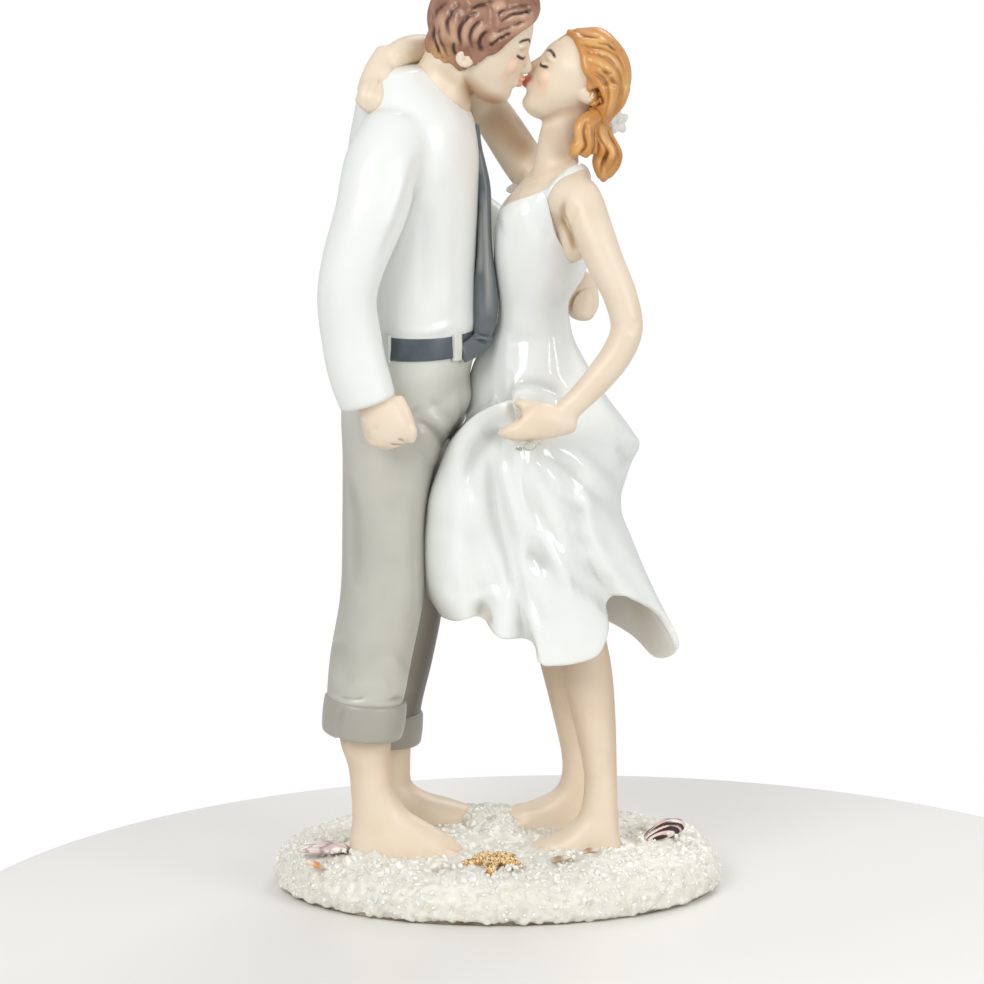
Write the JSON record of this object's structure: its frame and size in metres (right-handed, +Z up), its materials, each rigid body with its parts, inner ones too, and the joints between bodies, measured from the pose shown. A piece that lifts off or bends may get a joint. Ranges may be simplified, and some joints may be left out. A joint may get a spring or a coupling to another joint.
{
  "type": "wedding cake topper",
  "caption": "Porcelain figurine of a barefoot couple kissing on an oval base of glued sand with shells, for standing on a cake.",
  "frame": {"origin": "middle of the base's flat underside", "axes": "+Z up through the couple, +X the way that the groom faces along the base's long side, -Y the side from which both are seen in profile with the groom on the left"},
  "size_m": [0.077, 0.056, 0.1563],
  "materials": {
    "plate": "satin",
    "sand": "matte",
    "starfish": "matte",
    "striped_shell": "gloss",
    "violet_shell": "satin",
    "shell_chips": "satin",
    "groom_skin": "satin",
    "bride_skin": "satin",
    "brown_hair": "gloss",
    "red_hair": "gloss",
    "shirt": "satin",
    "slate": "satin",
    "trousers": "satin",
    "dress": "gloss",
    "flower": "satin",
    "pearl": "gloss"
  },
  "bodies": {
    "root": {"base_plate": "plate", "sand_layer": "sand", "starfish": "starfish", "striped_shell": "striped_shell", "violet_shell": "violet_shell", "shell_chip_1": "shell_chips", "shell_chip_2": "shell_chips", "shell_chip_3": "shell_chips", "shell_chip_4": "shell_chips", "groom_head": "groom_skin", "groom_hair": "brown_hair", "shirt_body": "shirt", "groom_right_sleeve": "shirt", "groom_left_sleeve": "shirt", "groom_right_hand": "groom_skin", "groom_left_hand": "groom_skin", "necktie": "slate", "belt": "slate", "belt_loop": "trousers", "trousers": "trousers", "right_trouser_cuff": "trousers", "left_trouser_cuff": "trousers", "groom_right_foot": "groom_skin", "groom_left_foot": "groom_skin", "bride_head": "bride_skin", "bride_hair": "red_hair", "hair_front_lock": "red_hair", "hair_back_lock": "red_hair", "hair_flower": "flower", "bride_torso": "bride_skin", "dress_bodice": "dress", "left_strap": "dress", "right_strap": "dress", "dress_skirt": "dress", "bride_left_arm": "bride_skin", "bride_left_hand": "bride_skin", "bride_right_arm": "bride_skin", "bride_right_hand": "bride_skin", "bride_left_leg": "bride_skin", "bride_right_leg": "bride_skin", "finger_pearl": "pearl"}
  },
  "joints": []
}
